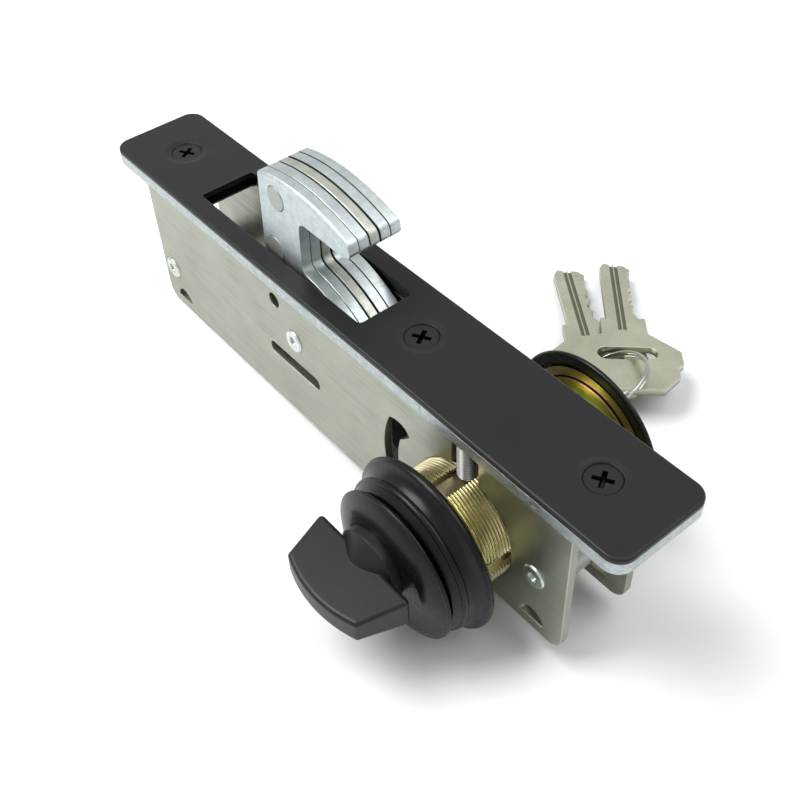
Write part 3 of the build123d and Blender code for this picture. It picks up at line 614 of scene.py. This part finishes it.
def body_angles():
    """Angles round a body from 3 o'clock, close together at the grooves at 3 and 12 o'clock."""
    at_groove = np.radians(np.arange(-12.0, 12.01, 0.4))
    between = np.radians(np.arange(13.5, 76.6, 1.5))
    beyond = np.radians(np.arange(103.5, 346.6, 1.5))
    return np.concatenate([at_groove, between, math.pi / 2 + at_groove, beyond])


def threaded_body(name, side, start, length, margin, thread_end, bore_radius, settings):
    """Cylinder wall whose radius is the crest less the thread's wave, which moves on by one pitch
    in a turn. Two flat-floored grooves with round ends are cut into it, up to a margin from the
    outer end, and flat ends join it to an off-centre bore."""
    angles = body_angles()
    threaded = np.arange(0.0, thread_end, settings.pitch / steps_per_pitch)
    plain = np.linspace(thread_end, length, 8)
    groove_end = length - margin + groove_end_rows
    way = np.unique(np.concatenate([threaded, plain, groove_end[groove_end < length]]))
    along, angle = np.meshgrid(way, angles, indexing="ij")
    fade = np.clip((thread_end - along) / settings.pitch, 0, 1)
    root = wave(along / settings.pitch + angle / math.tau) * fade
    groove = np.zeros(root.shape)
    # groove_shade keeps the painted shade of the grooves, by each groove's share
    groove_shade = np.zeros(root.shape)
    radius = np.minimum(crest_radius - settings.depth * root, crest_radius - entry_chamfer + along)
    for direction, groove_shade_share in grooves:
        across = crest_radius * np.sin(angle - direction)
        facing = np.cos(angle - direction)
        beyond = np.maximum(0, along - (length - margin - groove_width / 2))
        depth_in = groove_width / 2 - np.hypot(across, beyond)
        cut = np.clip(depth_in / groove_wall, 0, 1) * (facing > 0)
        # The limit of a half keeps the floor's radius finite on the far side, where it isn't used
        floor = groove_floor / np.maximum(facing, 0.5)
        radius = radius * (1 - cut) + np.minimum(radius, floor) * cut
        groove = np.maximum(groove, cut)
        groove_shade = np.maximum(groove_shade, cut * groove_shade_share)
    wall = np.stack(
        [cylinder_x + radius * np.cos(angle), side * (start + along), cylinder_z + radius * np.sin(angle)], -1
    )
    bore_way = np.array([length, length / 2, 0.0])
    bore_along, bore_angle = np.meshgrid(bore_way, angles, indexing="ij")
    bore = np.stack(
        [turn_x + bore_radius * np.cos(bore_angle), side * (start + bore_along),
         turn_z + bore_radius * np.sin(bore_angle)], -1,
    )
    bare = np.zeros(bore_along.size)
    # The root factor is painted shade in the thread roots, left out in the grooves
    return skin(
        name, [(np.concatenate([wall, bore]), True)],
        root=np.concatenate([(root ** 2 * (1 - groove)).ravel(), bare]),
        groove=np.concatenate([groove_shade.ravel(), bare]),
    )


def set_screw_mesh(name, places, low, high, radius, settings):
    """Headless screws: radius is the crest less the thread's wave, both ends are chamfered, and a
    six-sided socket goes down from the top, its radius being the flat's distance over the cosine
    of the angle from the flat's middle."""
    angles = np.radians(np.arange(0, 360, 5.0))
    way = np.arange(0, high - low, settings.screw_pitch / steps_per_pitch)
    way = np.append(way, high - low)
    along, angle = np.meshgrid(way, angles, indexing="ij")
    root = wave(along / settings.screw_pitch + angle / math.tau)
    crest = radius - settings.screw_depth * root
    ends = np.minimum(along, (high - low) - along)
    crest = np.minimum(crest, radius - screw_chamfer + ends)
    to_flat = (angles + math.pi / 6) % (math.pi / 3) - math.pi / 6
    hexagon = socket_flat / np.cos(to_flat)
    socket_rows = (
        (hexagon + socket_mouth, high),
        (hexagon, high - socket_mouth_depth),
        (hexagon, high - socket_depth),
        (hexagon * socket_tip_share, high - socket_tip_depth),
    )
    shells = []
    for x, y in places:
        wall = np.stack([x + crest * np.cos(angle), y + crest * np.sin(angle), low + along], -1)
        socket = np.stack([
            np.stack(
                [x + size * np.cos(angles), y + size * np.sin(angles), np.full(angles.shape, height)], -1
            )
            for size, height in socket_rows
        ])
        shells.append((np.concatenate([wall, socket]), False))
    end_points = 2
    bare = np.zeros(len(socket_rows) * angles.size + end_points)
    return skin(name, shells, root=np.concatenate([root.ravel(), bare] * len(places)))


class LOCK_OT_faceplate(Operator):
    """Black cover, zinc bar and black flat-head screws"""

    bl_idname = "lock.faceplate"
    bl_label = "Faceplate"

    def execute(self, context):
        colours = context.scene.lock_finish
        # The pale edge colour is partly wear and partly a painted highlight
        black = metal_finish(
            "cover_black", colour=colours.cover_black, shade=(0.011, 0.0115, 0.012), rough=(0.36, 0.44),
            grain=(2200, 2200, 2200), metal=0.0, relief=0.05, edge=(0.11, 0.115, 0.12),
            edge_width=0.35, specular=0.26,
        )
        to_screw = to_nearest_screw(black)
        dish = ramp(black, to_screw, dish_inner, dish_outer, course="SMOOTHSTEP")
        raise_surface(black, dish, dish_depth)
        # Painted shade: pure black in the gap round each screw head
        overlay(black, below_factor(black, to_screw, gap_shade_outer), plain_black)
        dress(black, "faceplate_cover")
        # The pale edge colour is a painted highlight
        zinc = metal_finish(
            "bar_zinc", colour=colours.bar_zinc, shade=(0.34, 0.38, 0.38), rough=(0.30, 0.50),
            grain=(900, 900, 1800), relief=0.18, edge=(0.62, 0.66, 0.66), clouds=900.0,
        )
        # Painted shade: the bar's walls round the hook's opening are made near black
        opening_shade = combine(zinc, "MULTIPLY", [band_factor(zinc, *limits) for limits in opening_shade_box])
        overlay(zinc, opening_shade, (0.02, 0.02, 0.02))
        bar = eased_copy("front_bar", context.scene.lock_edges.plate_edge)
        add_piece("bar_eased", bar, zinc, "case", "front_bar")
        oxide = metal_finish(
            "screw_black", colour=plain_black, shade=(0.0005, 0.0005, 0.0005), rough=(0.34, 0.45),
            grain=(3000, 3000, 3000), metal=0.0, relief=0.06, edge_width=0.0, specular=0.26,
        )
        # Painted shade: the head keeps its own black within the inner radius, and its rim outside it stays
        # pure black as shade of the gap
        overlay(oxide, below_factor(oxide, to_nearest_screw(oxide), gap_shade_inner), (0.011, 0.011, 0.0115))
        # Painted shade: pure black down in the head's cross recess
        recess_shade_top = cover_screw_high.z - recess_shade_start
        recess_shade = band_factor(oxide, "Z", screws_low.z, recess_shade_top, limit_soft)
        overlay(oxide, recess_shade, plain_black)
        dress(oxide, "mounting_screws", "cover_screw")
        return {"FINISHED"}


class LOCK_OT_case(Operator):
    """Brushed side plates with turned posts staked into them"""

    bl_idname = "lock.case"
    bl_label = "Case"

    def execute(self, context):
        # The pale edge colour is a painted highlight
        brushed = metal_finish(
            "case_steel", colour=context.scene.lock_finish.case_steel, shade=(0.305, 0.322, 0.26),
            rough=(0.32, 0.46), grain=(60, 2600, 2600), relief=0.16, edge=(0.64, 0.66, 0.62),
            edge_width=0.2,
        )
        for node in ("near_side_plate", "far_side_plate"):
            plate = eased_copy(node, context.scene.lock_edges.plate_edge)
            add_piece(node + "_eased", plate, brushed, "case", node)
        # The dark edge colour is painted shade round the staked heads
        turned = metal_finish(
            "stud_steel", colour=(0.72, 0.78, 0.75), shade=(0.52, 0.57, 0.54), rough=(0.22, 0.4),
            grain=(1500, 1500, 1500), relief=0.3, edge=(0.16, 0.15, 0.13), edge_width=0.3,
        )
        # Painted shade: the posts are darker between the plates, inside the case
        shade_between_plates = band_factor(turned, "Y", plate_high.y, -plate_high.y)
        overlay(turned, shade_between_plates, (0.30, 0.31, 0.30))
        dress(turned, "left_post", "right_post", "pivot_post")
        return {"FINISHED"}


class LOCK_OT_hook(Operator):
    """Five zinc plies, the middle one a yellowish spacer, and their rivets"""

    bl_idname = "lock.hook"
    bl_label = "Hook"

    def execute(self, context):
        edges = context.scene.lock_edges
        # The dark edge colours of both finishes are painted shade along the plies' edges and seams
        zinc = metal_finish(
            "hook_zinc", colour=context.scene.lock_finish.hook_zinc, shade=(0.43, 0.48, 0.49),
            rough=(0.34, 0.52), grain=(2600, 420, 2600), relief=0.22, edge=(0.16, 0.18, 0.18),
            edge_width=0.16, clouds=420.0,
        )
        yellow = metal_finish(
            "hook_spacer", colour=(0.52, 0.54, 0.49), shade=(0.41, 0.42, 0.37), rough=(0.36, 0.54),
            grain=(2600, 420, 2600), relief=0.22, edge=(0.04, 0.04, 0.04), edge_width=0.3,
            clouds=420.0,
        )
        # Painted shade: a dark line along each seam between plies
        for finish in (zinc, yellow):
            for distance, half in ply_seam_shades:
                for seam in (-distance, distance):
                    line = band_factor(finish, "Y", seam - half, seam + half, line_soft)
                    overlay(finish, line, (0.025, 0.027, 0.027))
        for node, slot, finish in (
            ("hook_outer_plies", "hook_zinc", zinc),
            ("hook_inner_plies", "hook_zinc", zinc),
            ("hook_middle_ply", "hook_spacer", yellow),
        ):
            plies = eased_copy(node, edges.ply_edge, edges.claw_corner)
            add_piece(node + "_eased", plies, finish, "hook", node)
        # The dark edge colour is painted shade round the rivets' heads
        rivet = metal_finish(
            "rivet_steel", colour=(0.44, 0.46, 0.43), shade=(0.36, 0.37, 0.34), rough=(0.4, 0.58),
            grain=(1500, 1500, 1500), relief=0.2, edge=(0.13, 0.13, 0.12), edge_width=0.2,
        )
        dress(rivet, "hook_rivets")
        return {"FINISHED"}


class LOCK_OT_drive(Operator):
    """Drive plate and its link pin, seen through the slots"""

    bl_idname = "lock.drive"
    bl_label = "Drive"

    def execute(self, context):
        # The near black is partly the plate's black oxide and partly painted shade of the case's dark inside
        steel = metal_finish(
            "drive_steel", colour=(0.045, 0.045, 0.032), shade=(0.025, 0.025, 0.02), rough=(0.4, 0.6),
            grain=(700, 700, 700), relief=0.2, edge_width=0.2,
        )
        dress(steel, "drive_plate")
        pin = metal_finish(
            "pin_steel", colour=(0.10, 0.10, 0.08), shade=(0.06, 0.06, 0.05), rough=(0.4, 0.6),
            grain=(1200, 1200, 1200), relief=0.2, edge_width=0.15,
        )
        dress(pin, "link_pin")
        return {"FINISHED"}


class LOCK_OT_cylinders(Operator):
    """Threaded bodies with their grooves, heads, trim rings, springs and set screws"""

    bl_idname = "lock.cylinders"
    bl_label = "Cylinders"

    def execute(self, context):
        colours = context.scene.lock_finish
        thread = context.scene.lock_thread
        self.add_near_body(colours.cylinder_gold, thread)
        self.add_far_body(thread)
        black = metal_finish(
            "trim_black", colour=colours.trim_black, shade=(0.004, 0.0042, 0.0048), rough=(0.26, 0.33),
            grain=(1500, 1500, 1500), metal=0.0, relief=0.02, edge_width=0.0, specular=0.22,
        )
        dress(black, "near_cylinder_head", "near_collar", "far_cylinder_head", "far_collar")
        spring = metal_finish(
            "spring_gold", colour=(0.42, 0.32, 0.16), shade=(0.26, 0.19, 0.09), rough=(0.25, 0.4),
            grain=(600, 600, 600), relief=0.1, edge_width=0.1,
        )
        dress(spring, "near_collar_spring", "far_collar_spring")
        self.add_set_screws(thread)
        return {"FINISHED"}

    def add_near_body(self, colour, thread):
        """Pale gold body with painted shade: dark in the thread roots, brownish in the grooves and black
        in the gap by the collar, and a dark line where the thread ends."""
        gold = metal_finish(
            "near_gold", colour=colour, shade=(0.74, 0.62, 0.36), rough=(0.22, 0.36),
            grain=(300, 300, 300), relief=0.05, edge_width=0.0, clouds=160.0,
        )
        # Painted shade: dark in the thread roots
        overlay(gold, attribute_factor(gold, "root", 0.88), (0.03, 0.022, 0.01))
        # Painted shade in the grooves, brownish, full in the 12 o'clock groove and a fifth of it in the 3
        # o'clock one
        overlay(gold, attribute_factor(gold, "groove", 0.9), (0.27, 0.20, 0.14))
        thread_end = -thread.plain_start
        overlay(gold, band_factor(gold, "Y", thread_end - plain_line, thread_end), (0.12, 0.08, 0.04))
        # Painted shade: black in the gap under the near collar
        outer_end = near_body_low.y - band_soft
        shade_under_collar = band_factor(gold, "Y", outer_end, near_collar_low.y + collar_shade)
        overlay(gold, shade_under_collar, (0.012, 0.012, 0.012))
        start = -near_body_high.y
        body = threaded_body(
            "near_thread", -1, start, near_body_high.y - near_body_low.y, near_groove_margin,
            thread.plain_start - start, spindle_radius + bore_clearance, thread,
        )
        add_piece("near_thread", body, gold, "case", "near_cylinder_body")

    def add_far_body(self, thread):
        """Olive body, the yellow zinc painted darker as shade, with a brown flange and a painted highlight
        line at the flange's edge.
        """
        # Painted shade: the far body is the yellow zinc made darker and olive
        shaded_olive = metal_finish(
            "far_gold", colour=(0.34, 0.34, 0.05), shade=(0.24, 0.27, 0.04), rough=(0.30, 0.42),
            grain=(240, 240, 240), relief=0.05, edge_width=0.0,
        )
        flange = far_collar_low.y - flange_inset
        in_flange = band_factor(shaded_olive, "Y", flange, far_body_high.y, flange_soft)
        overlay(shaded_olive, in_flange, (0.085, 0.05, 0.025))
        # Painted highlight: a light line at the flange's edge
        on_highlight = band_factor(
            shaded_olive, "Y", flange - flange_highlight_inner, flange + flange_highlight_outer, line_soft
        )
        overlay(shaded_olive, on_highlight, (0.75, 0.58, 0.5))
        body = threaded_body(
            "far_thread", 1, far_body_low.y, far_body_high.y - far_body_low.y, far_groove_margin,
            far_thread_end - far_body_low.y, plug_radius + bore_clearance, thread,
        )
        add_piece("far_thread", body, shaded_olive, "case", "far_cylinder_body")

    def add_set_screws(self, thread):
        """Silvery headless screws with painted shade in the thread roots."""
        silver = metal_finish(
            "screw_steel", colour=(0.42, 0.42, 0.39), shade=(0.32, 0.32, 0.30), rough=(0.25, 0.4),
            grain=(1500, 1500, 1500), relief=0.05, edge_width=0.0,
        )
        # Painted shade: dark in the thread roots
        overlay(silver, attribute_factor(silver, "root", 0.8), (0.05, 0.05, 0.05))
        radius = (set_screw_high.x - set_screw_low.x) / 2
        from_middle = (set_screw_high.y - set_screw_low.y) / 2 - radius
        screws = set_screw_mesh(
            "set_screw_threads", ((cylinder_x, -from_middle), (cylinder_x, from_middle)),
            set_screw_low.z, set_screw_high.z, radius, thread,
        )
        add_piece("set_screw_threads", screws, silver, "case", "set_screws")


class LOCK_OT_thumbturn(Operator):
    """Black thumbturn with its paddle"""

    bl_idname = "lock.thumbturn"
    bl_label = "Thumbturn"

    def execute(self, context):
        black = metal_finish(
            "turn_black", colour=context.scene.lock_finish.trim_black, shade=(0.0065, 0.0068, 0.0072),
            rough=(0.36, 0.44), grain=(1500, 1500, 1500), metal=0.0, relief=0.04, edge_width=0.35,
            specular=0.34,
        )
        dress(black, "thumbturn")
        return {"FINISHED"}


class LOCK_OT_inner_parts(Operator):
    """Brass plug, spindle, pins and cams, with steel springs and small screws"""

    bl_idname = "lock.inner_parts"
    bl_label = "Inner parts"

    def execute(self, context):
        brass = metal_finish(
            "brass", colour=(0.62, 0.47, 0.22), shade=(0.48, 0.36, 0.16), rough=(0.25, 0.42),
            grain=(900, 900, 900), relief=0.1, edge_width=0.15,
        )
        dress(brass, "turn_spindle", "near_cam", "key_plug", "key_pins", "driver_pins", "far_cam")
        steel = metal_finish(
            "small_steel", colour=(0.5, 0.5, 0.5), shade=(0.36, 0.36, 0.36), rough=(0.25, 0.4),
            grain=(1500, 1500, 1500), relief=0.1, edge_width=0.1,
        )
        dress(steel, "near_cam_screws", "far_cam_screws", "pin_springs")
        return {"FINISHED"}


class LOCK_OT_keys(Operator):
    """Two nickel silver keys on a split ring"""

    bl_idname = "lock.keys"
    bl_label = "Keys"

    def execute(self, context):
        # The dark edge colour is painted shade along the keys' edges
        nickel = metal_finish(
            "key_nickel", colour=context.scene.lock_finish.key_nickel, shade=(0.47, 0.47, 0.37),
            rough=(0.30, 0.42), grain=(1300, 1300, 1300), relief=0.06, edge=(0.24, 0.23, 0.18),
            edge_width=0.2,
        )
        # Painted shade: darker in the keys' grooves, below the upper face
        overlay(nickel, attribute_factor(nickel, "below", 0.8), (0.10, 0.085, 0.055))
        for node in ("key_1", "key_2"):
            key = eased_copy(node, context.scene.lock_edges.key_edge)
            mark_below_top(key, key_groove_shade_start, key_groove_shade_end)
            add_piece(node + "_eased", key, nickel, "keys", node)
        wire = metal_finish(
            "ring_steel", colour=(0.50, 0.49, 0.46), shade=(0.36, 0.35, 0.32), rough=(0.15, 0.25),
            grain=(1500, 1500, 1500), relief=0.03, edge_width=0.0,
        )
        dress(wire, "key_ring")
        return {"FINISHED"}


def add_camera(settings):
    """Camera at the photograph's viewing angle."""
    camera = bpy.data.objects.new("camera", bpy.data.cameras.new("camera"))
    bpy.context.scene.collection.objects.link(camera)
    bpy.context.scene.camera = camera
    camera.data.lens = settings.camera_lens
    camera.data.sensor_width = camera_sensor
    camera.data.clip_start = camera_near
    forward = Vector(settings.camera_forward).normalized()
    right = Vector(settings.camera_right)
    right = (right - forward * right.dot(forward)).normalized()
    up = right.cross(forward)
    turn = Matrix((right, up, -forward)).transposed().to_4x4()
    camera.matrix_world = Matrix.Translation(settings.camera_place) @ turn


def fade_to_white(material, near, far):
    """Floor that turns to plain white, for the camera alone, from a near to a far distance."""
    nodes = material.node_tree.nodes
    away = measure(material, "LENGTH", object_place(material))
    faded = ramp(material, away, near, far)
    seen = calculate(material, "MULTIPLY", faded, ray(material, "Is Camera Ray"))
    blend = nodes.new("ShaderNodeMixShader")
    connect(material, seen, blend.inputs[0])
    connect(material, nodes["Principled BSDF"].outputs[0], blend.inputs[1])
    connect(material, nodes.new("ShaderNodeEmission").outputs[0], blend.inputs[2])
    connect(material, blend.outputs[0], nodes["Material Output"].inputs["Surface"])


def add_floor(colour):
    """Square floor, which leans so that the case's left corner and the near collar rest on it."""
    lean = (near_collar_low.z - plate_low.z) / (cylinder_x - plate_low.x)
    reach = floor_reach
    corners = [
        (x, y, plate_low.z + (x - plate_low.x) * lean - floor_gap)
        for x, y in ((-reach, -reach), (reach, -reach), (reach, reach), (-reach, reach))
    ]
    mesh = bpy.data.meshes.new("floor")
    mesh.from_pydata(corners, [], [(0, 1, 2, 3)])
    floor = bpy.data.objects.new("floor", mesh)
    bpy.context.scene.collection.objects.link(floor)
    white = metal_finish(
        "floor_white", colour=colour, shade=colour, rough=(0.5, 0.6), grain=(20, 20, 20),
        metal=0.0, edge_width=0.0, specular=0.2,
    )
    fade_to_white(white, floor_fade_near, floor_fade_far)
    mesh.materials.append(white)


def add_lamp(name, place, size, power):
    """Square soft light that faces the lock."""
    light = bpy.data.lights.new(name, "AREA")
    light.energy = power
    light.size = size
    lamp = bpy.data.objects.new(name, light)
    bpy.context.scene.collection.objects.link(lamp)
    lamp.location = place
    lamp.rotation_mode = "QUATERNION"
    lamp.rotation_quaternion = (Vector(lamp_target) - Vector(place)).to_track_quat("-Z", "Y")


def add_surroundings(settings):
    """White surroundings: plain white to the camera, dimmer as light and in reflections."""
    world = bpy.data.worlds.new("surroundings")
    bpy.context.scene.world = world
    world.use_nodes = True
    background = world.node_tree.nodes["Background"]
    background.inputs["Color"].default_value = (1, 1, 1, 1)
    dimmed = mix(world, "FLOAT", ray(world, "Is Glossy Ray"), settings.ambient, settings.mirrored)
    strength = mix(world, "FLOAT", ray(world, "Is Camera Ray"), dimmed, 1.0)
    connect(world, strength, background.inputs["Strength"])


class LOCK_OT_stage(Operator):
    """Set up the camera, the lights, the surroundings and the leaning floor"""

    bl_idname = "lock.stage"
    bl_label = "Stage"

    def execute(self, context):
        settings = context.scene.lock_stage
        add_camera(settings)
        add_floor(settings.floor_colour)
        add_lamp("key", key_lamp_place, key_lamp_size, settings.key_power)
        add_lamp("fill", fill_lamp_place, fill_lamp_size, settings.fill_power)
        add_surroundings(settings)
        return {"FINISHED"}


class LOCK_PT_panel(Panel):
    """Lists the lock's operators and settings"""

    bl_idname = "LOCK_PT_panel"
    bl_label = "Hook lock"
    bl_space_type = "VIEW_3D"
    bl_region_type = "UI"
    bl_category = "Hook lock"

    def draw(self, context):
        for operator in OPERATORS:
            self.layout.operator(operator.bl_idname)
        for name, group in SETTINGS:
            box = self.layout.box()
            for key in group.__annotations__:
                box.prop(getattr(context.scene, name), key)


OPERATORS = (
    LOCK_OT_faceplate, LOCK_OT_case, LOCK_OT_hook, LOCK_OT_drive, LOCK_OT_cylinders,
    LOCK_OT_thumbturn, LOCK_OT_inner_parts, LOCK_OT_keys, LOCK_OT_stage,
)
SETTINGS = (
    ("lock_finish", FinishSettings),
    ("lock_thread", ThreadSettings),
    ("lock_edges", EdgeSettings),
    ("lock_stage", StageSettings),
)


def register():
    """Add the settings, the operators and the panel."""
    for name, group in SETTINGS:
        bpy.utils.register_class(group)
        setattr(bpy.types.Scene, name, PointerProperty(type=group))
    for operator in OPERATORS:
        bpy.utils.register_class(operator)
    bpy.utils.register_class(LOCK_PT_panel)


def unregister():
    """Take them away again."""
    bpy.utils.unregister_class(LOCK_PT_panel)
    for operator in reversed(OPERATORS):
        bpy.utils.unregister_class(operator)
    for name, group in reversed(SETTINGS):
        delattr(bpy.types.Scene, name)
        bpy.utils.unregister_class(group)


def main():
    """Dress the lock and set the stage."""
    register()
    bpy.context.scene.view_settings.view_transform = "Standard"
    bpy.ops.lock.faceplate()
    bpy.ops.lock.case()
    bpy.ops.lock.hook()
    bpy.ops.lock.drive()
    bpy.ops.lock.cylinders()
    bpy.ops.lock.thumbturn()
    bpy.ops.lock.inner_parts()
    bpy.ops.lock.keys()
    bpy.ops.lock.stage()


if __name__ == "__main__":
    main()
